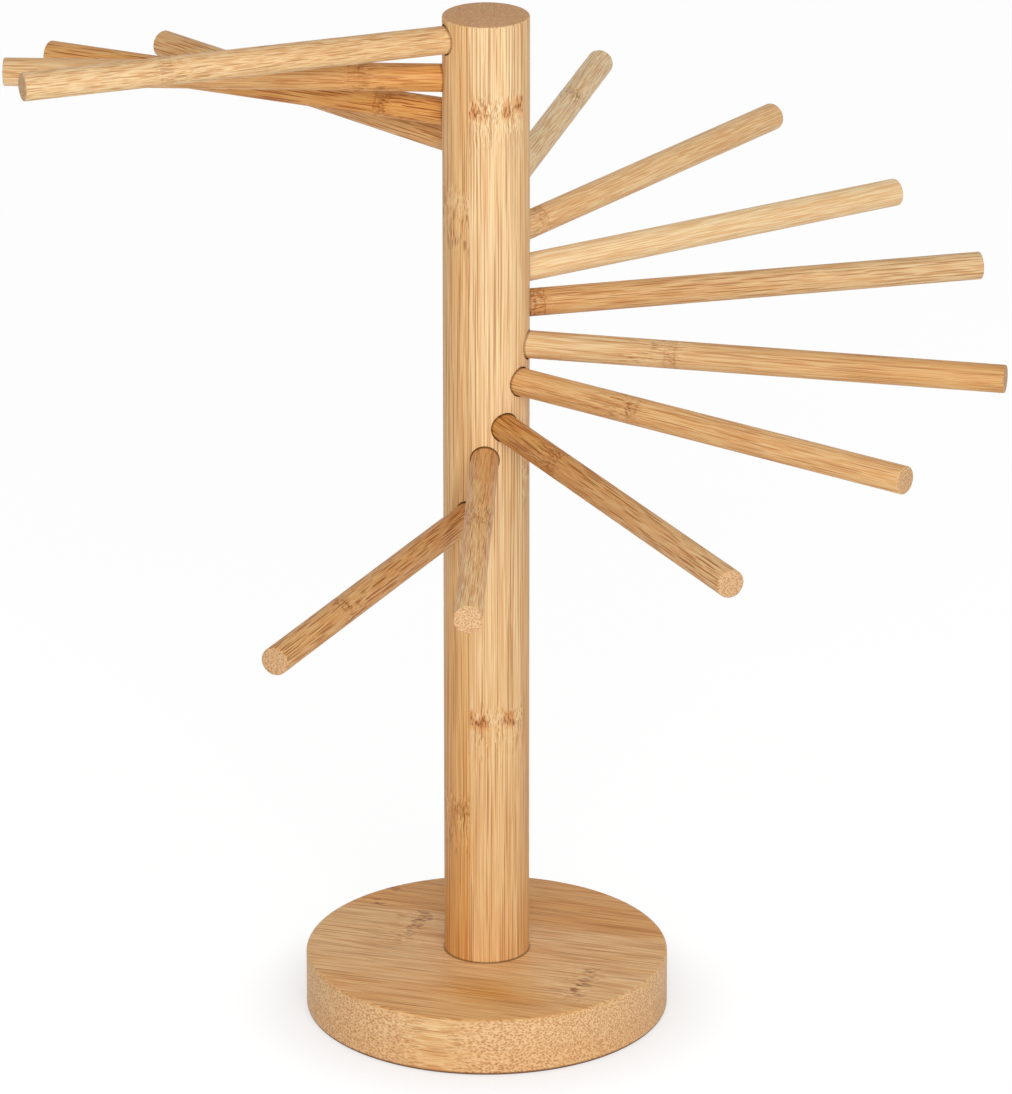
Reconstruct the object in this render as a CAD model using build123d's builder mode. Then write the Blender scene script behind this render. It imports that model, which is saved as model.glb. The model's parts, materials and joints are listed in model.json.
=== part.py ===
from build123d import *

import os
from math import cos, radians, sin

# Pasta drying rack of light bamboo: a round post stands on a round base, and fourteen plain rods
# are pushed into blind sockets that wind down the post in one long spiral.
# The origin is the middle of the base's underside, where the post's axis meets the floor.
# +Z is up and the rack is looked at along +Y, so the rod nearest the viewer points along -Y.

# Base: a turned disc with both rims eased
base_diameter = 158.0
base_thickness = 26.0
base_rim_ease = 1.3

# Post: a round bar that stands on the base
post_diameter = 37.0
post_length = 426.0
post_top_ease = 0.7
post_foot_ease = 0.5

# Rods: fourteen alike, both ends eased, the one that goes in a little more
rod_diameter = 12.0
rod_length = 211.5
rod_tip_ease = 0.5
rod_lead_ease = 0.8

# Sockets: blind holes a shade wider than the rods, with a tapered lead-in at the mouth
socket_fit = 0.05
socket_back_wall = 10.0
socket_top_wall = 3.0
socket_web = 3.1
socket_floor_gap = 0.4
lead_in = 0.6
lead_in_angle = 30.0

# Spiral: the top rod's direction is counted anticlockwise from +X, and each next rod is one turn
# step further clockwise and one drop lower. The sockets are drilled a little unevenly, so each has
# its own share of whole steps, and each rod is pushed in by hand, so each has its own share of the
# socket's depth left behind it.
first_direction = 200.6
turn_step = 24.2
turn_shares = (0, 0.96, 1.9, 2.78, 4.4, 5.13, 6.05, 6.96, 7.71, 8.8, 9.83, 10.92, 12.09, 13.04)
drop_shares = (0, 1.25, 2.4, 3.35, 4.25, 5.15, 6.1, 7.05, 7.95, 9, 9.95, 11.2, 12.15, 13.85)
stand_out_shares = (0, 0, 0.2, 0.15, 0.3, 0.45, 0.5, 0.3, 0.6, 0.75, 0.5, 0.75, 0, 0)

# Bolt, washer and threaded insert that hold the post down on the base
bolt_diameter = 8.0
bolt_head_diameter = 16.0
bolt_head_height = 4.6
bolt_head_dome = 1.6
bolt_key_across = 5.0
bolt_key_depth = 2.8
bolt_tip_ease = 0.8
bolt_bite = 18.0
bolt_hole_fit = 0.3
thread_fit = 0.05
washer_diameter = 20.0
washer_thickness = 1.6
recess_fit = 1.0
recess_depth = 9.0
insert_wall = 2.2
insert_length = 20.0
insert_flange_rim = 2.0
insert_flange_thickness = 1.2
insert_fit = 0.05
insert_tip_ease = 0.6
insert_hole_spare = 4.0

# Sizes worked out from those above
base_radius = base_diameter / 2
post_radius = post_diameter / 2
post_top = base_thickness + post_length
rod_radius = rod_diameter / 2
socket_radius = rod_radius + socket_fit
socket_depth = post_diameter - socket_back_wall
seat_depth = socket_depth - socket_floor_gap
first_height = post_top - socket_top_wall - socket_radius
drop_step = rod_diameter + socket_web
bolt_radius = bolt_diameter / 2
bolt_hole_radius = bolt_radius + bolt_hole_fit
washer_radius = washer_diameter / 2
recess_radius = washer_radius + recess_fit
head_seat = recess_depth - washer_thickness
bolt_end = base_thickness + bolt_bite
insert_bore_radius = bolt_radius + thread_fit
insert_radius = insert_bore_radius + insert_wall
flange_radius = insert_radius + insert_flange_rim
insert_hole_depth = insert_length + insert_hole_spare

os.makedirs("parts", exist_ok=True)


def save(piece, name):
    """Label a finished piece and write it as one STEP file."""
    piece.part.label = name
    export_step(piece.part, f"parts/{name}.step")
    print(name, "volume", round(piece.part.volume))


def socket_mouth(number):
    """Plane across one socket's mouth: its origin on the post's skin, its Z along the rod."""
    turn = radians(first_direction - turn_step * turn_shares[number])
    height = first_height - drop_step * drop_shares[number]
    outward = Vector(cos(turn), sin(turn), 0)
    return Plane(
        origin=outward * post_radius + Vector(0, 0, height),
        x_dir=(0, 0, 1),
        z_dir=outward,
    )


mouths = [socket_mouth(number) for number in range(len(turn_shares))]

# Base, drilled through its middle, with a recess below for the bolt's head and washer
with BuildPart() as base:
    with BuildSketch():
        Circle(base_radius)
    extrude(amount=base_thickness)
    chamfer(base.edges().filter_by(GeomType.CIRCLE), length=base_rim_ease)
    with Locations(Plane(origin=(0, 0, 0), z_dir=(0, 0, -1))):
        CounterBoreHole(
            radius=bolt_hole_radius,
            counter_bore_radius=recess_radius,
            counter_bore_depth=recess_depth,
            depth=base_thickness,
        )
save(base, "base")

# Post, with its spiral of blind sockets and the stepped hole for the insert in its foot
with BuildPart() as post:
    with BuildSketch(Plane.XY.offset(base_thickness)):
        Circle(post_radius)
    extrude(amount=post_length)
    chamfer(post.faces().sort_by(Axis.Z)[-1].edges(), length=post_top_ease)
    chamfer(post.faces().sort_by(Axis.Z)[0].edges(), length=post_foot_ease)
    with Locations(Plane(origin=(0, 0, base_thickness), z_dir=(0, 0, -1))):
        CounterBoreHole(
            radius=insert_radius + insert_fit,
            counter_bore_radius=flange_radius + insert_fit,
            counter_bore_depth=insert_flange_thickness,
            depth=insert_hole_depth,
        )
    for mouth in mouths:
        with Locations(mouth):
            CounterSinkHole(
                radius=socket_radius,
                counter_sink_radius=socket_radius + lead_in,
                depth=socket_depth,
                counter_sink_angle=lead_in_angle,
            )
save(post, "post")

# Rods, from the top one down, each standing its own distance out of its socket
for number, mouth in enumerate(mouths):
    stand_out = seat_depth * stand_out_shares[number]
    with BuildPart() as rod:
        with BuildSketch(mouth.offset(stand_out - seat_depth)):
            Circle(rod_radius)
        extrude(amount=rod_length)
        ends = rod.faces().filter_by(GeomType.PLANE).sort_by(Axis(mouth.origin, mouth.z_dir))
        chamfer(ends[-1].edges(), length=rod_tip_ease)
        chamfer(ends[0].edges(), length=rod_lead_ease)
    save(rod, f"rod_{number + 1:02d}")
    print("  stands out", round(stand_out, 2), "of", round(seat_depth, 2))

# Threaded insert: a flanged sleeve let into the post's foot
with BuildPart() as threaded_insert:
    with BuildSketch(Plane.XY.offset(base_thickness)):
        Circle(flange_radius)
    extrude(amount=insert_flange_thickness)
    with BuildSketch(Plane.XY.offset(base_thickness)):
        Circle(insert_radius)
    extrude(amount=insert_length)
    chamfer(threaded_insert.faces().sort_by(Axis.Z)[-1].edges(), length=insert_tip_ease)
    with Locations((0, 0, base_thickness)):
        Hole(radius=insert_bore_radius)
save(threaded_insert, "threaded_insert")

# Washer between the bolt's head and the floor of the base's recess
with BuildPart() as bolt_washer:
    with BuildSketch(Plane.XY.offset(head_seat)):
        Circle(washer_radius)
        Circle(bolt_hole_radius, mode=Mode.SUBTRACT)
    extrude(amount=washer_thickness)
save(bolt_washer, "bolt_washer")

# Bolt: a low domed head with a hexagon key socket, turned in one profile with its shank
with BuildPart() as base_bolt:
    with BuildSketch(Plane.XZ):
        with BuildLine():
            Polyline(
                (0, head_seat - bolt_head_height),
                (bolt_head_diameter / 2 - bolt_head_dome, head_seat - bolt_head_height),
                (bolt_head_diameter / 2, head_seat - bolt_head_height + bolt_head_dome),
                (bolt_head_diameter / 2, head_seat),
                (bolt_radius, head_seat),
                (bolt_radius, bolt_end - bolt_tip_ease),
                (bolt_radius - bolt_tip_ease, bolt_end),
                (0, bolt_end),
                close=True,
            )
        make_face()
    revolve(axis=Axis.Z)
    with BuildSketch(Plane.XY.offset(head_seat - bolt_head_height)):
        RegularPolygon(radius=bolt_key_across / 2, side_count=6, major_radius=False)
    extrude(amount=bolt_key_depth, mode=Mode.SUBTRACT)
save(base_bolt, "base_bolt")
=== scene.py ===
# %% [markdown]
# # A pasta drying rack of light bamboo
#
# The rack is a round post on a round base, with fourteen plain rods pushed into sockets that wind
# down the post. It is all one material, so nearly all of its looks come from bamboo itself: long
# fine fibres, glued strips, ragged marks where the cane had its nodes, and stippled ends where the
# fibres are cut across. The measured model is loaded first and stays fixed. Each new piece is made
# round it, at the same place and size.

# %% Load the measured model
import json
from math import cos, radians, sin, tan

import bpy
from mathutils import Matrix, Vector


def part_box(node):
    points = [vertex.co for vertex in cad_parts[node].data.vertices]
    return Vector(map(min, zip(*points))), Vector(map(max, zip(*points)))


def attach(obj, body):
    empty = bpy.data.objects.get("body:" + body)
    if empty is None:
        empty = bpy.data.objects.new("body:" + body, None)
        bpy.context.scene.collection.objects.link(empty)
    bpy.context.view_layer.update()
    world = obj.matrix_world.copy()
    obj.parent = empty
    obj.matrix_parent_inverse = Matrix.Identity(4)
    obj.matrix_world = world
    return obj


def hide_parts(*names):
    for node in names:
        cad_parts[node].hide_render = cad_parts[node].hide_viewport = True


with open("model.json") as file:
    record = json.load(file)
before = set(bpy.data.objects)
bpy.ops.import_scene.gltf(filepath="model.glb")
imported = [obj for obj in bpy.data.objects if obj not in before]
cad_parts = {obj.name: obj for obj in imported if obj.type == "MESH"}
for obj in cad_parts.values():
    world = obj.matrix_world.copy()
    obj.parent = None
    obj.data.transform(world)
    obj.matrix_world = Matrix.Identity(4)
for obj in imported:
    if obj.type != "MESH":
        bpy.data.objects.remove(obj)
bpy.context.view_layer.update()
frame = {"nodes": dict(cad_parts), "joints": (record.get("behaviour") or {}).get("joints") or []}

MM = 0.001
print("loaded", len(frame["nodes"]), "measured pieces")

# %% [markdown]
# ## Where everything is
#
# The model knows the direction of every rod, because each rod slides along its own joint. A rod's
# middle is the middle of its box, and its length is how far its points reach along that direction.
# Reading these from the model means that nothing has to be measured twice or moved to fit.


# %% Read the rods, the post and the base
def reach(node, along):
    """How far a measured piece's points reach along a direction: the lowest and the highest."""
    steps = [vertex.co.dot(along) for vertex in frame["nodes"][node].data.vertices]
    return min(steps), max(steps)


rods = []
for joint in frame["joints"]:
    body = joint["child"]
    node = body.replace("arm_", "rod_")
    along = Vector(joint["axis"]).normalized()
    low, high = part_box(node)
    inner, outer = reach(node, along)
    rods.append({
        "node": node,
        "body": body,
        "along": along,
        "middle": along * (inner + outer) / 2 + Vector((0, 0, (low.z + high.z) / 2)),
        "length": outer - inner,
    })
rod_length = rods[0]["length"]
rod_radius = (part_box("rod_01")[1].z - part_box("rod_01")[0].z) / 2

post_low, post_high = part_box("post")
post_radius = (post_high.x - post_low.x) / 2
base_low, base_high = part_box("base")
base_radius = (base_high.x - base_low.x) / 2
base_top = base_high.z
print("rods", len(rods), "length", round(rod_length, 4), "radius", round(rod_radius, 4))
print("post radius", round(post_radius, 4), "base radius", round(base_radius, 4))

# %% [markdown]
# ## The camera
#
# The picture was taken from a little above with a long lens, so the upright post stays almost
# parallel. The camera looks at the post's axis half-way up, from 3.4 m away, and stands a few
# millimetres to the side, which puts the post left of the middle without turning the view.

# %% Set up the camera
camera_distance = 3.4
camera_elevation = radians(20.95)
camera_height_aimed_at = 0.21325
camera_sidestep = 0.0084
camera_lens = 260.4

bpy.ops.object.camera_add(
    location=(
        camera_sidestep,
        -camera_distance * cos(camera_elevation),
        camera_height_aimed_at + camera_distance * sin(camera_elevation),
    ),
    rotation=(radians(90) - camera_elevation, 0, 0),
)
camera = bpy.context.object
camera.name = "camera"
camera.data.lens = camera_lens
bpy.context.scene.camera = camera
bpy.context.scene.view_settings.view_transform = "Standard"
print("camera at", [round(x, 3) for x in camera.location])

# %% [markdown]
# ## A small language for finishes
#
# A finish is a net of nodes. Written out by hand, each node takes three or four lines and the idea
# drowns in wiring. So one small class wraps a socket and lets it be used in sums: `1 - mask` adds
# a Math node, and a sum with a direction or a colour in it adds a Vector Math node. Every other
# node is made by one method, which takes its type, its settings and what goes into its sockets.


# %% Sums with sockets
class Wire:
    """One value, direction or colour inside a finish, which can be used in sums."""

    def __init__(self, finish, socket):
        self.finish = finish
        self.socket = socket

    def work(self, operation, *parts):
        """Add the Math or Vector Math node for one operation."""
        threefold = any(
            isinstance(part, tuple) or (isinstance(part, Wire) and part.socket.type != "VALUE")
            for part in parts
        )
        kind = "ShaderNodeVectorMath" if threefold else "ShaderNodeMath"
        return self.finish.node(kind, {"operation": operation}, dict(enumerate(parts)))

    def __add__(self, other):
        return self.work("ADD", self, other)

    def __radd__(self, other):
        return self.work("ADD", other, self)

    def __sub__(self, other):
        return self.work("SUBTRACT", self, other)

    def __rsub__(self, other):
        return self.work("SUBTRACT", other, self)

    def __mul__(self, other):
        return self.work("MULTIPLY", self, other)

    def __rmul__(self, other):
        return self.work("MULTIPLY", other, self)

    def __gt__(self, other):
        return self.work("GREATER_THAN", self, other)

    def __abs__(self):
        return self.work("ABSOLUTE", self)


# %% One way to add any node
class Finish:
    """A material, or the world round the scene, that is put together from nodes."""

    def __init__(self, owner):
        self.owner = owner
        owner.use_nodes = True
        self.tree = owner.node_tree
        self.tree.nodes.clear()

    def node(self, kind, settings, inputs, output=0):
        """Add a node: its type, its settings, then values or wires for its sockets."""
        added = self.tree.nodes.new(kind)
        for name, value in settings.items():
            setattr(added, name, value)
        sockets = [socket for socket in added.inputs if socket.enabled]
        for key, value in inputs.items():
            chosen = sockets[key] if isinstance(key, int) else added.inputs[key]
            if isinstance(value, Wire):
                self.tree.links.new(value.socket, chosen)
            elif chosen.type == "RGBA":
                chosen.default_value = (*value, 1)
            elif chosen.type == "VECTOR" and isinstance(value, (int, float)):
                chosen.default_value = (value, value, value)
            else:
                chosen.default_value = value
        results = [socket for socket in added.outputs if socket.enabled]
        return Wire(self, results[output] if isinstance(output, int) else added.outputs[output])

    def fade(self, value, start, end):
        """Go smoothly from 0, where the value is at its start, to 1, where it is at its end."""
        return self.node(
            "ShaderNodeMapRange",
            {"interpolation_type": "SMOOTHSTEP"},
            {0: value, 1: start, 2: end},
        )

    def mix(self, share, first, second):
        """Blend two colours."""
        return self.node("ShaderNodeMix", {"data_type": "RGBA"}, {0: share, 1: first, 2: second})

    def cloud(self, where, detail=2, output="Fac"):
        """Soft noise, one lump to each unit of the place that it is read at."""
        inputs = {"Vector": where, "Scale": 1, "Detail": detail}
        return self.node("ShaderNodeTexNoise", {}, inputs, output)

    def cells(self, where):
        """Distance to the nearest of many scattered points, about one to each unit."""
        inputs = {"Vector": where, "Scale": 1}
        return self.node("ShaderNodeTexVoronoi", {}, inputs, "Distance")

    def close(self, surface, output="ShaderNodeOutputMaterial"):
        """Send the finished surface to the output, and give back what it was made for."""
        last = self.tree.nodes.new(output)
        self.tree.links.new(surface.socket, last.inputs["Surface"])
        return self.owner


def new_finish(name):
    """Start the finish of a new material."""
    return Finish(bpy.data.materials.new(name))


def shade(red, green, blue):
    """A colour as it is picked from a picture, turned into the even scale that light adds up in."""
    def even(value):
        part = value / 255
        return part / 12.92 if part <= 0.04045 else ((part + 0.055) / 1.055) ** 2.4
    return even(red), even(green), even(blue)


print("white is", shade(255, 255, 255))

# %% [markdown]
# ## Bamboo
#
# Bamboo is a bundle of long fibres. Cut along, they show as fine brown streaks, and cut across, the
# same fibres show as dots. So the pattern is not painted on the surface: it fills the whole solid,
# stretched far along the fibres, and every face simply cuts through it. A side shows streaks, an
# end shows stipple, and a round edge turns one into the other, with nothing drawn twice.
#
# Where the cane had a node, the fibres swerve, and a ragged darker band with specks crosses the
# strip. The pattern is read in millimetres, with Z along the fibres.

# %% The colours of bamboo
straw = shade(253, 230, 184)
honey = shade(233, 190, 137)
amber = shade(222, 162, 97)
node_amber = shade(224, 148, 78)
fibre_brown = shade(172, 110, 54)
node_brown = shade(136, 78, 32)
end_tan = shade(206, 160, 118)
end_pale = shade(252, 224, 182)
dot_brown = shade(186, 130, 80)
glue_and_shade_brown = shade(110, 70, 38)
deep_cane = (0.77, 0.435, 0.1)
pale_cane = (1, 1, 1)


# %% Find the place inside a piece
model_origin = Vector((0, 0, 0))
upward = Vector((0, 0, 1))


def turn_to(along):
    """The turn that lays the Z axis along a direction."""
    return along.to_track_quat("Z", "Y").to_euler()


def fibre_place(finish, middle, along):
    """The shaded point in millimetres from a piece's middle, with Z along its fibres."""
    turned = (0, 0, 0) if along == upward else turn_to(along)
    where = finish.node("ShaderNodeTexCoord", {}, {}, "Object")
    return finish.node(
        "ShaderNodeMapping",
        {"vector_type": "TEXTURE"},
        {"Vector": where, "Location": middle, "Rotation": turned, "Scale": (MM, MM, MM)},
    )


def slant_to(finish, along):
    """How squarely the surface faces a direction: 0 where it runs along it, 1 where it is square."""
    facing = finish.node("ShaderNodeTexCoord", {}, {}, "Normal")
    return abs(finish.node(
        "ShaderNodeVectorMath", {"operation": "DOT_PRODUCT"}, {0: facing, 1: tuple(along)}
    ))


def split(finish, place):
    """The three coordinates of a place."""
    return [
        finish.node("ShaderNodeSeparateXYZ", {}, {"Vector": place}, axis)
        for axis in ("X", "Y", "Z")
    ]


def joined(finish, x, y, z):
    """Three values put together as one direction."""
    return finish.node("ShaderNodeCombineXYZ", {}, {"X": x, "Y": y, "Z": z})


def length(finish, direction):
    """How long a direction is."""
    return finish.node("ShaderNodeVectorMath", {"operation": "LENGTH"}, {0: direction}, "Value")


# %% [markdown]
# A node is two faint ridges round the cane, a few millimetres apart, with short ticks and dark pits
# between them. The fibres near it bend and break up into short dashes before they run straight again.
# How strong all this is changes from one side of the strip to the other. `to_node` is the distance
# past the node along the fibres, below zero on its root's side. Everything is in millimetres.

# %% What a node does to the cane
node_half_height = 2.2


def node_marks(finish, place, to_node, coarse):
    """Masks for a node: how near it is, its blotch, ridges, ticks, teeth, pits and dashes."""
    place = place * (1 / coarse, 1 / coarse, 1 / coarse ** 0.6)

    # How near the node is, where it is strong, and how raggedly it crosses the strip
    near = finish.fade(to_node, -24, -1) * finish.fade(to_node, 9, 1)
    uneven = finish.fade(finish.cloud(place * (0.13, 0.13, 0.04)), 0.42, 0.56)
    ragged = finish.cloud(place * (0.45, 0.45, 0.06), 3) - 0.5

    # A warm blotch and two faint ridges
    blotch = near * finish.fade(abs(to_node + ragged * 8), 7, 2) * (0.25 + 0.75 * uneven)
    ridges = finish.fade(abs(abs(to_node + ragged * 3) - node_half_height), 0.55, 0.15)

    # Short dark ticks where the node is strong, pale teeth where it is weak, and dark pits
    band = finish.fade(abs(to_node + ragged * 12), 4.2, 2.4)
    ticks = finish.fade(finish.cells(place * (1.6, 1.6, 0.34)), 0.52, 0.38)
    teeth = band * (1 - ticks) * (1 - uneven)
    ticks = ticks * band * (0.35 + 0.65 * uneven)
    pits = finish.fade(finish.cells(place * (1.3, 1.3, 0.4) + (3, 5, 7)), 0.44, 0.3)
    pits = pits * finish.fade(abs(to_node + 1.5 + ragged * 8), 2.8, 1) * uneven

    # Broken fibres on the root's side, in patches
    dashes = finish.fade(finish.cells(place * (1.1, 1.1, 0.13) + (7, 3, 5)), 0.38, 0.26)
    patchy = finish.fade(finish.cloud(place * (0.12, 0.12, 0.05)), 0.4, 0.55)
    dashes = dashes * patchy * finish.fade(to_node, -27, -15) * finish.fade(to_node, 1, -6)
    return near, blotch, ridges * (0.3 + 0.7 * uneven), ticks, teeth, pits, dashes


# %% The bamboo surface
def bamboo(
    finish, place, to_node, ends=0.0, cut=0.0, pale=1.0, end_tone=0.8, glue_and_painted_shade=0.0, run=60, streak=1.0,
    coarse=1.0, node_colour=0.0, ridge=0.0, tick=0.5, tooth=0.0, dash=0.6, stipple=0.5, light=1.0,
    fine=1.0,
):
    """Fibres, node marks and end grain, turned into a surface.

    The masks `ends` and `cut` say where the ends and the cut fibres are, a third mask says where the
    glue lines are and where painted shade darkens cracks, sockets and rims, and `pale` says how pale
    the cane is. The rest say how strong each thing is, how many times longer than wide a streak runs,
    and how coarse the node's marks and how fine the fibres are.
    """
    near, blotch, ridges, ticks, teeth, pits, dashes = node_marks(finish, place, to_node, coarse)

    # Fibres wander a little, and are bent aside near a node
    wander = finish.cloud(place * (0.11, 0.11, 0.012), 2, "Color") - 0.5
    bend = finish.cloud(place * (0.36, 0.36, 0.11), 2, "Color") - 0.5
    fibres = place + wander * (1.2, 1.2, 0) + bend * near * (2.2, 2.2, 0)
    fibres = fibres * (fine, fine, 1)

    def streaked(to_the_millimetre):
        """The place in the fibres, squeezed so that round patterns turn into long streaks."""
        return fibres * (to_the_millimetre, to_the_millimetre, to_the_millimetre / run)

    # Brown bundles, some strong and some faint, between hair-fine pale and tan streaks
    thick = finish.fade(finish.cells(streaked(0.6)), 0.26, 0.16)
    thin = finish.fade(finish.cells(streaked(1.1)), 0.38, 0.29)
    strength = finish.fade(finish.cloud(streaked(0.3)), 0.36, 0.66)
    hair = finish.fade(finish.cloud(streaked(2.2)), 0.43, 0.57)
    broad = finish.fade(finish.cloud(fibres * (0.13, 0.13, 0.004)), 0.35, 0.7)

    colour = finish.mix(hair, straw, honey)
    colour = finish.mix(broad * 0.18, colour, amber)
    colour = finish.mix(thin * (0.53 + 0.1 * strength) * streak, colour, fibre_brown)
    colour = finish.mix(thick * (0.03 + 0.15 * strength) * streak, colour, fibre_brown)

    # The node's marks
    colour = finish.mix(blotch * node_colour, colour, node_amber)
    colour = finish.mix(ridges * ridge, colour, fibre_brown)
    colour = finish.mix(teeth * tooth, colour, straw)
    colour = finish.mix(ticks * tick, colour, node_brown)
    colour = finish.mix(pits * (tick + 0.2), colour, node_brown)
    colour = finish.mix(dashes * dash, colour, node_brown)

    # Cut fibres are dots, or short dashes on a slant, and ends cut straight across are browner
    dots = finish.fade(finish.cells(place * (1.2, 1.2, 0.6)), 0.62, 0.26)
    grain = finish.mix(dots, end_pale, dot_brown)
    colour = finish.mix(ends * 0.75, colour, end_tan)
    colour = finish.mix(cut * stipple, colour, grain)
    # Glue lines, and painted shade in cracks, sockets and at the floor, in one dark brown
    colour = finish.mix(glue_and_painted_shade, colour, glue_and_shade_brown)

    # The tone of the cane lies over everything
    pale = pale + ends * 0.8 * (end_tone - pale)
    colour = colour * finish.mix(pale, deep_cane, pale_cane) * (light, light, light)

    rough = 0.48 + hair * 0.08 + thin * 0.06 + ends * 0.12
    height = hair * 0.02 - thin * 0.03 - thick * 0.03 + ridges * 0.05 - pits * 0.05 - dashes * 0.04
    bump = finish.node(
        "ShaderNodeBump", {}, {"Strength": 0.6, "Distance": MM, "Height": height}, "Normal"
    )
    surface = finish.node(
        "ShaderNodeBsdfPrincipled",
        {},
        {"Base Color": colour, "Roughness": rough, "Normal": bump, "Specular IOR Level": 0.28},
    )
    return finish.close(surface)


# %% [markdown]
# ## Strips
#
# The post and the base are glued up from strips. Each strip is its own piece of cane, so it has its
# own fibres, its own tone and its own nodes. The strips could be modelled one by one, but they are
# planed flush and only a hairline shows between them, so one solid carries them all in its finish.
# A value that changes from strip to strip is made by adding a step at each glue line.


# %% Values that change at the glue lines
node_spacing = 275.5
sharp = 0.01


def stepped(finish, across, edges, values, softness=sharp):
    """A value that changes from one strip to the next at each glue line."""
    level = values[0]
    for edge, before, after in zip(edges, values, values[1:]):
        step = finish.fade(across, edge - softness, edge + softness)
        level = level + step * (after - before)
    return level


def glue_lines(finish, across, edges, half_width):
    """1 on the thin lines where two strips meet."""
    lines = 0
    for edge in edges:
        lines = lines + finish.fade(abs(across - edge), half_width, 0)
    return lines


def nearest_node(finish, height, phase):
    """Signed distance along the cane to its nearest node, when nodes lie evenly spaced."""
    shifted = height - phase + node_spacing / 2
    wrapped = finish.node(
        "ShaderNodeMath", {"operation": "FLOORED_MODULO"}, {0: shifted, 1: node_spacing}
    )
    return wrapped - node_spacing / 2


# %% [markdown]
# ### The post's strips
#
# Seen from the front the post has a wide pale strip in the middle, a browner one on its left and a
# narrow one on its right, and its top shows the front strip as a shallow slice. Behind that slice
# the strips are others.

# %% The post's finish
front_edges = (-7.2, 15.4)
front_nodes = (374, 416, 250)
front_ticks = (0.35, 0.7, 0.4)
front_dashes = (0.85, 0.06, 0.3)
front_pales = (0.56, 0.88, 0.7)
back_edges = (-11, 3.5)
back_nodes = (300, 195, 75)
back_pales = (0.7, 0.6, 0.75)
slice_depth = -3.2
tone_softness = 1.8
glue_half_width = 0.35
strip_apart = (41, 23, 310)
darker_below = 330
darkest_at = 30
post_skin = post_radius / MM
post_top = post_high.z / MM
post_foot = post_low.z / MM

finish = new_finish("post_bamboo")
place = fibre_place(finish, model_origin, upward)
x, y, z = split(finish, place)
behind = y > slice_depth
ahead = 1 - behind
phase = stepped(finish, x, front_edges, front_nodes) * ahead
phase = phase + stepped(finish, x, back_edges, back_nodes) * behind
pale = stepped(finish, x, front_edges, front_pales, tone_softness) * ahead
pale = pale + stepped(finish, x, back_edges, back_pales, tone_softness) * behind
strip = stepped(finish, x, front_edges, (0, 1, 2)) * ahead
strip = strip + stepped(finish, x, back_edges, (3, 4, 5)) * behind
own_place = place + joined(finish, *(strip * step for step in strip_apart))
glue = (
    glue_lines(finish, x, front_edges, glue_half_width) * ahead
    + glue_lines(finish, x, back_edges, glue_half_width) * behind
    + glue_lines(finish, y, (slice_depth,), glue_half_width)
)
ends = finish.fade(slant_to(finish, upward), 0.72, 0.97)
from_axis = length(finish, joined(finish, x, y, 0))
# Painted shade inside the sockets and the hole in the foot, on every face within the skin below the
# top, and round the post's foot where it stands on the base
drilled = finish.fade(from_axis, post_skin - 0.05, post_skin - 0.3)
drilled = drilled * finish.fade(z, post_top - 0.8, post_top - 1.2)
foot_shade = finish.fade(z, post_foot + 1, post_foot + 0.2)
pale = pale - 0.3 * finish.fade(z, darker_below, darkest_at)
post_finish = bamboo(
    finish,
    own_place,
    nearest_node(finish, z, phase),
    ends=ends,
    cut=ends,
    pale=pale,
    end_tone=0.58,
    glue_and_painted_shade=glue * (0.06 + 0.1 * ends) + drilled * 0.8 + foot_shade * 0.5,
    run=130,
    streak=1.22,
    node_colour=0.6 * stepped(finish, x, front_edges, (0.2, 1, 1)),
    tick=stepped(finish, x, front_edges, front_ticks),
    tooth=0.7,
    dash=stepped(finish, x, front_edges, front_dashes),
    stipple=0.28,
    fine=1.35,
)
print("post finish has", len(finish.tree.nodes), "nodes")

# %% [markdown]
# ### The base's strips
#
# The base is cut from a board of two layers of wide strips. Their fibres run across the picture and
# a little towards the viewer on the right, so the round edge shows long streaks only at its front
# and stipple on either side of it. The lower layer is warmer.

# %% The base's finish
base_turn = radians(-17)
layer_height = 12
strip_edges = (-45, -9, 29, 58)
upper_nodes = (110, 52, -36, -59.5, 100)
# The two back strips of the top are darkest, partly their own tone and partly painted shadow of the
# post and rods
upper_pales_and_shade = (0.4, 0.6, 0.56, 0.22, 0.3)
lower_nodes = (130, -110, 75, 100, -15)
side_pale = 0.62
lower_side_pale = 0.55
board_softness = 5
board_glue_half_width = 0.3
board_apart = (47, 29, 270)
layer_apart = 7
warm_patch = (-43, 16)
warm_patch_spread = (0.06, 0.035)

finish = new_finish("base_bamboo")
base_along = Vector((cos(base_turn), sin(base_turn), 0))
place = fibre_place(finish, model_origin, base_along)
across, up, along = split(finish, place)
upper = up > layer_height
lower = 1 - upper
phase = stepped(finish, across, strip_edges, upper_nodes) * upper
phase = phase + stepped(finish, across, strip_edges, lower_nodes) * lower
flatness = slant_to(finish, upward)
side = 1 - finish.fade(flatness, 0.3, 0.8)
to_warm_patch = joined(
    finish,
    (across - warm_patch[0]) * warm_patch_spread[0],
    (along - warm_patch[1]) * warm_patch_spread[1],
    0,
)
warm = finish.fade(length(finish, to_warm_patch), 1.2, 0)
top_pale = stepped(finish, across, strip_edges, upper_pales_and_shade, board_softness) - 0.28 * warm
edge_pale = side_pale + (lower_side_pale - side_pale) * finish.fade(up, 15, 9)
pale = top_pale + side * (edge_pale - top_pale)
strip = stepped(finish, across, strip_edges, (0, 1, 2, 3, 4)) + lower * layer_apart
own_place = place + joined(finish, *(strip * step for step in board_apart))
glue_and_painted_shade = 0.1 * glue_lines(finish, up, (layer_height,), board_glue_half_width)
glue_and_painted_shade = glue_and_painted_shade + 0.1 * glue_lines(finish, across, strip_edges, board_glue_half_width)
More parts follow.
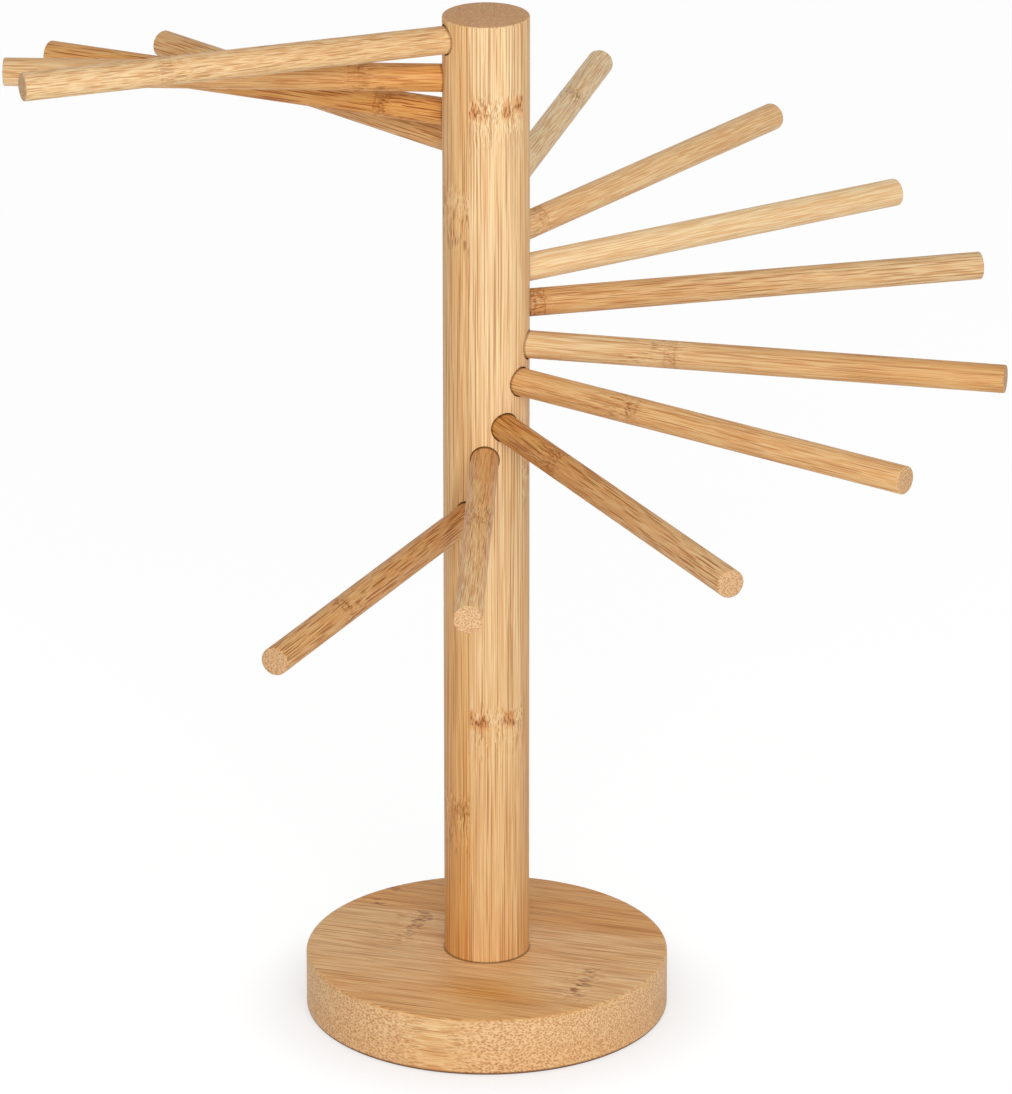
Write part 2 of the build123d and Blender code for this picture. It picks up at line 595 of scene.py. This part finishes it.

# Painted shade darkens the rim at the floor and the crack round the post's foot
glue_and_painted_shade = glue_and_painted_shade + 0.9 * finish.fade(up, 1.9, 0.9) * finish.fade(flatness, 0.995, 0.9)
from_axis = length(finish, joined(finish, across, along, 0))
beside_post = finish.fade(from_axis, post_skin + 1, post_skin + 0.1)
glue_and_painted_shade = glue_and_painted_shade + 0.55 * beside_post * finish.fade(up, post_foot - 6, post_foot - 1)
base_finish = bamboo(
    finish,
    own_place,
    nearest_node(finish, along, phase),
    cut=side * finish.fade(slant_to(finish, base_along), 0, 0.3),
    pale=pale,
    glue_and_painted_shade=glue_and_painted_shade,
    run=60,
    streak=0.92,
    coarse=2.5,
    tick=0.55,
    dash=0.3,
    stipple=0.6,
)
print("base finish has", len(finish.tree.nodes), "nodes")

# %% [markdown]
# ### Fourteen different rods
#
# Each rod is one stick of cane, so it shows at most one node, somewhere along its length. One finish
# for all would put the same marks on every rod, so each gets its own, cut from another place in the
# cane. From the top rod down, the lists say how far its node lies from its tip, how pale its tip and
# its root are, how strong its streaks are and how long they run, and how light the whole stick is.

# %% The rods' finishes
node_from_tip = (61, 148, 161, 95, 120, 60, 181, 240, 197, 143, 136, 151, 100, 58)
tip_pales = (0.8, 0.8, 0.28, 0.5, 0.5, 1, 0.68, 0.95, 0.84, 0.34, 0.56, 0.64, 0.64, 0.42)
# The dark roots of the second and third rods are partly their tone and partly painted shade
root_pales_and_shade = (0.64, 0.1, 0.16, 0.4, 0.5, 1, 0.66, 1, 0.38, 0.84, 0.44, 0.12, 0.34, 0.32)
streaks = (0.95, 0.9, 1.6, 1.35, 1, 0.7, 0.35, 0.05, 1.15, 0.95, 0.95, 1.4, 0.95, 1.5)
lights = (0.95, 1, 1, 1, 1, 1, 1.02, 1.02, 0.91, 0.92, 0.98, 0.93, 1, 0.9)
rod_runs = (18, 30, 34, 34, 30, 30, 35, 45, 35, 50, 40, 30, 26, 26)
rod_apart = (37, 53, 400)
first_rod_at = (11, 7, 0)


def rod_finish(number, rod):
    """A finish of its own for one rod."""
    finish = new_finish(rod["node"] + "_bamboo")
    place = fibre_place(finish, rod["middle"], rod["along"])
    z = split(finish, place)[2]
    half = rod["length"] / MM / 2
    from_root = finish.fade(z, -half * 1.3, half * 1.3)
    root, tip = root_pales_and_shade[number], tip_pales[number]
    ends = finish.fade(slant_to(finish, rod["along"]), 0.72, 0.97)

    # Painted shade: a thin dark line lies round the rod where it leaves the post
    from_post = fibre_place(finish, model_origin, upward) * (1, 1, 0)
    joint = finish.fade(abs(length(finish, from_post) - (post_skin + 0.2)), 0.8, 0.3)
    cane_start = tuple(number * step + first for step, first in zip(rod_apart, first_rod_at))
    return bamboo(
        finish,
        place + cane_start,
        z - half + node_from_tip[number],
        ends=ends,
        cut=ends,
        pale=root + (tip - root) * from_root,
        glue_and_painted_shade=joint * 0.45,
        run=rod_runs[number],
        streak=streaks[number],
        node_colour=0.14,
        ridge=0.4,
        tick=0.42,
        stipple=0.45,
        light=lights[number],
        fine=1.15,
    )


rod_finishes = [rod_finish(number, rod) for number, rod in enumerate(rods)]
print("rod finishes", len(rod_finishes))

# %% [markdown]
# ### Zinc-plated steel
#
# The bolt, its washer and the sleeve that it screws into are bright steel under a thin skin of
# zinc. Zinc is a little cloudy, so the roughness drifts in soft patches with fine scratches in it.

# %% The steel's finish
bright_zinc = shade(206, 206, 202)
dull_zinc = shade(178, 180, 180)
patches_to_the_metre = (420, 420, 420)
scratches_to_the_metre = (5200, 900, 900)

finish = new_finish("zinc_steel")
where = finish.node("ShaderNodeTexCoord", {}, {}, "Object")
patches = finish.cloud(where * patches_to_the_metre, 3)
scratches = finish.cloud(where * scratches_to_the_metre)
colour = finish.mix(finish.fade(patches, 0.35, 0.7), bright_zinc, dull_zinc)
bump = finish.node(
    "ShaderNodeBump", {}, {"Strength": 0.25, "Distance": MM, "Height": scratches * 0.03}, "Normal"
)
steel = finish.node(
    "ShaderNodeBsdfPrincipled",
    {},
    {
        "Base Color": colour,
        "Metallic": 1,
        "Roughness": 0.26 + patches * 0.16 + scratches * 0.06,
        "Normal": bump,
    },
)
steel_finish = finish.close(steel)
print("steel finish has", len(finish.tree.nodes), "nodes")

# %% [markdown]
# ## Working by hand, from code
#
# Operators act on whatever is selected, so each step first makes its piece the only one selected,
# and then picks the faces or edges to work on by where they lie.


# %% Selecting
def only(*pieces):
    """Make these the only selected pieces, the first of them active."""
    bpy.ops.object.select_all(action="DESELECT")
    for piece in pieces:
        piece.select_set(True)
    if pieces:
        bpy.context.view_layer.objects.active = pieces[0]


def open_faces(piece, wanted):
    """Open a piece for editing with only the faces selected that are wanted."""
    only(piece)
    bpy.ops.object.mode_set(mode="EDIT")
    bpy.ops.mesh.select_mode(type="FACE")
    bpy.ops.mesh.select_all(action="DESELECT")
    bpy.ops.object.mode_set(mode="OBJECT")
    for face in piece.data.polygons:
        face.select = wanted(face)
    bpy.ops.object.mode_set(mode="EDIT")


def open_rim(piece, wanted):
    """Open a piece for editing with only those edges selected that have both ends wanted."""
    only(piece)
    bpy.ops.object.mode_set(mode="EDIT")
    bpy.ops.mesh.select_mode(type="EDGE")
    bpy.ops.mesh.select_all(action="DESELECT")
    bpy.ops.object.mode_set(mode="OBJECT")
    points = piece.data.vertices
    for edge in piece.data.edges:
        edge.select = all(wanted(points[end].co) for end in edge.vertices)
    bpy.ops.object.mode_set(mode="EDIT")


def close_piece(piece):
    """Leave edit mode."""
    bpy.ops.object.mode_set(mode="OBJECT")
    return piece


# %% Shaping round pieces
# Points less than a hundredth of a millimetre apart lie at the same place
HAIR = 0.01 * MM
# Faces that meet at less than this angle are shaded as one smooth skin
smooth_below = radians(28)


def cylinder(name, radius, low, high, sides):
    """A round bar to start from, standing on the Z axis between two heights."""
    only()
    bpy.ops.mesh.primitive_cylinder_add(
        vertices=sides, radius=radius, depth=high - low, location=(0, 0, (low + high) / 2)
    )
    piece = bpy.context.object
    piece.name = name
    bpy.ops.object.transform_apply(location=True, rotation=True, scale=True)
    return piece


def round_rim(piece, height, size, steps=5):
    """Round the outer rim at one height."""
    open_rim(piece, lambda point: abs(point.z - height) < HAIR)
    bpy.ops.mesh.bevel(offset=size, segments=steps, affect="EDGES")
    return close_piece(piece)


def open_end(piece, height):
    """Open the flat end at one height."""
    open_faces(piece, lambda face: abs(face.center.z - height) < HAIR and abs(face.normal.z) > 0.99)


def ring_in(height, old_radius, new_radius):
    """Draw a smaller ring inside the open flat end."""
    share = new_radius / old_radius
    bpy.ops.mesh.extrude_region_move(TRANSFORM_OT_translate={"value": (0, 0, 0)})
    bpy.ops.transform.resize(value=(share, share, 1), center_override=(0, 0, height))


def push(distance):
    """Push the open face up, or down if the distance is negative."""
    bpy.ops.mesh.extrude_region_move(TRANSFORM_OT_translate={"value": (0, 0, distance)})


def cut_away(piece, cutter):
    """Take one solid out of another, and throw the cutter away."""
    only(piece)
    bpy.ops.object.modifier_add(type="BOOLEAN")
    cut = piece.modifiers[-1]
    cut.operation = "DIFFERENCE"
    cut.solver = "EXACT"
    cut.object = cutter
    bpy.ops.object.modifier_apply(modifier=cut.name)
    only(cutter)
    bpy.ops.object.delete()
    return piece


def finish_piece(piece, material, body, node):
    """Shade a piece, give it its finish, and hang it on the body of the piece that it stands for."""
    only(piece)
    bpy.ops.object.mode_set(mode="EDIT")
    bpy.ops.mesh.select_all(action="SELECT")
    bpy.ops.mesh.normals_make_consistent(inside=False)
    bpy.ops.object.mode_set(mode="OBJECT")
    bpy.ops.object.shade_smooth_by_angle(angle=smooth_below)
    piece.data.materials.clear()
    piece.data.materials.append(material)
    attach(piece, body)
    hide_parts(node)
    print(piece.name, "faces", len(piece.data.polygons), "rides on", body)
    return piece


# %% [markdown]
# ## The rods
#
# The real rods are lengths of round stick, with both rims sanded round, the inner one a little more,
# so that it finds its socket. All fourteen are alike, so one is made, standing along Z where its two
# rims are picked by their height alone. The rods are copies of it that are turned and moved to their
# sockets, and each copy's place goes into its own mesh.

# %% Make one rod and place fourteen
tip_round = 0.65 * MM
lead_round = 0.8 * MM
rod_sides = 64

pattern = cylinder("rod_pattern", rod_radius, -rod_length / 2, rod_length / 2, rod_sides)
round_rim(pattern, rod_length / 2, tip_round)
round_rim(pattern, -rod_length / 2, lead_round)

for rod, material in zip(rods, rod_finishes):
    only(pattern)
    bpy.ops.object.duplicate()
    piece = bpy.context.object
    piece.name = rod["node"] + "_bamboo"
    piece.location = rod["middle"]
    piece.rotation_euler = turn_to(rod["along"])
    bpy.ops.object.transform_apply(location=True, rotation=True, scale=True)
    finish_piece(piece, material, rod["body"], rod["node"])
only(pattern)
bpy.ops.object.delete()

# %% [markdown]
# ## The post
#
# The post is a round bar with its rims eased and fourteen blind sockets drilled into its side. The
# stepped hole in its foot, for the threaded sleeve, lies in a flat face, so it is drawn there as a
# ring and pushed in. A socket's mouth bends round the post's skin, where no ring could be drawn
# flat, so the sockets are cut as in a workshop: one drill is made, with a taper where it meets the
# skin, and a copy of it is set at each rod before all of them cut the post at once.

# %% Turn the post
post_sides = 192
post_top_round = 0.8 * MM
post_foot_round = 0.5 * MM
insert_radius = 6.3 * MM
flange_radius = 8.3 * MM
flange_thickness = 1.2 * MM
insert_hole_depth = 24 * MM

post = cylinder("post_bamboo", post_radius, post_low.z, post_high.z, post_sides)
round_rim(post, post_high.z, post_top_round)
round_rim(post, post_low.z, post_foot_round, steps=3)

open_end(post, post_low.z)
ring_in(post_low.z, post_radius - post_foot_round, flange_radius)
push(flange_thickness)
ring_in(post_low.z + flange_thickness, flange_radius, insert_radius)
push(insert_hole_depth - flange_thickness)
close_piece(post)
print("post", len(post.data.polygons), "faces before drilling")

# %% Drill the sockets
socket_fit = 0.05 * MM
socket_back_wall = 10 * MM
lead_in = 0.6 * MM
lead_in_half_angle = radians(15)
drill_overrun = 0.6 * MM
drill_sides = 64

socket_radius = rod_radius + socket_fit
socket_depth = 2 * post_radius - socket_back_wall
lead_in_slope = tan(lead_in_half_angle)
lead_depth = lead_in / lead_in_slope
drill = cylinder("drill", socket_radius, -socket_depth, -lead_depth, drill_sides)
open_end(drill, -lead_depth)
push(lead_depth + drill_overrun)
mouth_radius = socket_radius + (lead_depth + drill_overrun) * lead_in_slope
share = mouth_radius / socket_radius
bpy.ops.transform.resize(value=(share, share, 1), center_override=(0, 0, drill_overrun))
close_piece(drill)

drills = []
for rod in rods:
    only(drill)
    bpy.ops.object.duplicate()
    copy = bpy.context.object
    copy.location = rod["along"] * post_radius + Vector((0, 0, rod["middle"].z))
    copy.rotation_euler = turn_to(rod["along"])
    drills.append(copy)
only(drill)
bpy.ops.object.delete()
only(*drills)
bpy.ops.object.join()
bpy.ops.object.transform_apply(location=True, rotation=True, scale=True)
cut_away(post, bpy.context.object)
finish_piece(post, post_finish, "stand", "post")

# %% [markdown]
# ## The base
#
# The base is a disc with both rims eased. Below it a recess takes the bolt's head and washer, and a
# hole goes on up to the post. Both lie in flat faces, so nothing has to be cut: the recess is pushed
# up from the underside, a ring is opened in its floor and another in the disc's top, and a wall is
# bridged between the two rings. That leaves clean round edges and one closed solid.

# %% Turn and drill the base
base_sides = 256
base_round = 1.5 * MM
recess_radius = 11 * MM
recess_depth = 9 * MM
bolt_hole_radius = 4.3 * MM

base = cylinder("base_bamboo", base_radius, base_low.z, base_top, base_sides)
round_rim(base, base_top, base_round, steps=6)
round_rim(base, base_low.z, base_round, steps=6)

open_end(base, base_low.z)
ring_in(base_low.z, base_radius - base_round, recess_radius)
push(recess_depth)
ring_in(recess_depth, recess_radius, bolt_hole_radius)
bpy.ops.mesh.delete(type="ONLY_FACE")
close_piece(base)

open_end(base, base_top)
ring_in(base_top, base_radius - base_round, bolt_hole_radius)
bpy.ops.mesh.delete(type="ONLY_FACE")
close_piece(base)

open_rim(
    base,
    lambda point: point.xy.length < bolt_hole_radius + HAIR and point.z > recess_depth - HAIR,
)
bpy.ops.mesh.bridge_edge_loops()
close_piece(base)
finish_piece(base, base_finish, "stand", "base")

# %% [markdown]
# ## The bolt, its washer and the sleeve
#
# These show only from below. The washer is a round plate with a hole cut through it. The bolt starts
# as its low domed head, its shank is pushed up out of it, so that both are one solid, and a bar with
# six sides cuts the key hole. The sleeve stays hidden inside the post's foot, so the measured piece
# is kept and only gets its finish.

# %% Make the washer and the bolt
washer_low, washer_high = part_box("bolt_washer")
washer_radius = (washer_high.x - washer_low.x) / 2
bolt_low, bolt_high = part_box("base_bolt")
head_radius = (bolt_high.x - bolt_low.x) / 2
head_seat = washer_low.z
bolt_radius = 4 * MM
dome_round = 1.8 * MM
key_sides = 6
key_across = 5 * MM
key_depth = 2.8 * MM
washer_round = 0.25 * MM
bolt_tip_round = 0.8 * MM
cutter_overrun = 1 * MM
steel_sides = 64

washer = cylinder("bolt_washer_steel", washer_radius, washer_low.z, washer_high.z, steel_sides)
round_rim(washer, washer_low.z, washer_round, steps=3)
round_rim(washer, washer_high.z, washer_round, steps=3)
hole_low = washer_low.z - cutter_overrun
hole_high = washer_high.z + cutter_overrun
washer_hole = cylinder("washer_hole", bolt_hole_radius, hole_low, hole_high, steel_sides)
cut_away(washer, washer_hole)
finish_piece(washer, steel_finish, "stand", "bolt_washer")

bolt = cylinder("base_bolt_steel", head_radius, bolt_low.z, head_seat, steel_sides)
round_rim(bolt, bolt_low.z, dome_round, steps=8)
open_end(bolt, head_seat)
ring_in(head_seat, head_radius, bolt_radius)
push(bolt_high.z - head_seat)
close_piece(bolt)
round_rim(bolt, bolt_high.z, bolt_tip_round, steps=3)
key_radius = key_across / 2 / cos(radians(180 / key_sides))
key_low = bolt_low.z - cutter_overrun
key = cylinder("key", key_radius, key_low, bolt_low.z + key_depth, key_sides)
cut_away(bolt, key)
finish_piece(bolt, steel_finish, "stand", "base_bolt")

sleeve = frame["nodes"]["threaded_insert"]
sleeve.data.materials.clear()
sleeve.data.materials.append(steel_finish)

# %% [markdown]
# ## The studio
#
# The rack stands on a pale floor under a wide soft lamp that is almost level with the viewer, so
# its upright faces are bright and its tops are darker. The world adds even light from all round.
# What the camera and the reflections see is white. A small share of the floor's own shading stays
# in that white, which keeps the soft shadow. Round the base that share grows, which paints a soft
# shadow ring on the floor there.

# %% Floor, world and lamp
floor_reach = 12
floor_sides = 96
floor_share_of_white = 0.78
floor_share_near_base = 0.5
shade_reach = 0.038
floor_white = 1.12
floor_paint = (0.9, 0.9, 0.9)
white_light = (1, 1, 1)
world_strength = 0.46
lamp_distance = 2.6
lamp_elevation = radians(24)
lamp_azimuth = radians(6)
lamp_size = 1.6
lamp_power = 40
lamp_aim = Vector((0, 0, 0.3))

only()
bpy.ops.mesh.primitive_circle_add(vertices=floor_sides, radius=floor_reach, fill_type="NGON")
floor = bpy.context.object
floor.name = "floor"


def seen_directly(finish):
    """1 for what is seen straight, in a reflection or through a clear thing, and 0 for other light."""
    seen = finish.node("ShaderNodeLightPath", {}, {}, "Is Camera Ray")
    for kind in ("Is Glossy Ray", "Is Transmission Ray"):
        seen = seen.work("MAXIMUM", seen, finish.node("ShaderNodeLightPath", {}, {}, kind))
    return seen


finish = new_finish("pale_floor")
from_axis = length(finish, finish.node("ShaderNodeTexCoord", {}, {}, "Object"))
# A painted shadow: near the base less of the white shows, so the floor is darker in a soft ring
painted_shadow_near_base = finish.fade(from_axis, base_radius + shade_reach, base_radius - shade_reach / 3)
share = floor_share_of_white + painted_shadow_near_base * (floor_share_near_base - floor_share_of_white)
matt = finish.node("ShaderNodeBsdfDiffuse", {}, {"Color": floor_paint})
white = finish.node("ShaderNodeEmission", {}, {"Color": white_light, "Strength": floor_white})
surface = finish.node(
    "ShaderNodeMixShader", {}, {0: seen_directly(finish) * share, 1: matt, 2: white}
)
floor.data.materials.append(finish.close(surface))

sky = Finish(bpy.data.worlds.new("studio"))
lit = sky.node("ShaderNodeBackground", {}, {"Color": white_light, "Strength": world_strength})
seen = sky.node("ShaderNodeBackground", {}, {"Color": white_light, "Strength": 1})
both = sky.node("ShaderNodeMixShader", {}, {0: seen_directly(sky), 1: lit, 2: seen})
bpy.context.scene.world = sky.close(both, "ShaderNodeOutputWorld")

lamp_offset = Vector((
    sin(lamp_azimuth) * cos(lamp_elevation),
    -cos(lamp_azimuth) * cos(lamp_elevation),
    sin(lamp_elevation),
))
bpy.ops.object.light_add(
    type="AREA",
    location=lamp_aim + lamp_offset * lamp_distance,
    rotation=turn_to(lamp_offset),
)
lamp = bpy.context.object
lamp.name = "soft_lamp"
lamp.data.size = lamp_size
lamp.data.energy = lamp_power
lamp.visible_camera = False
print("lamp at", [round(x, 2) for x in lamp.location])
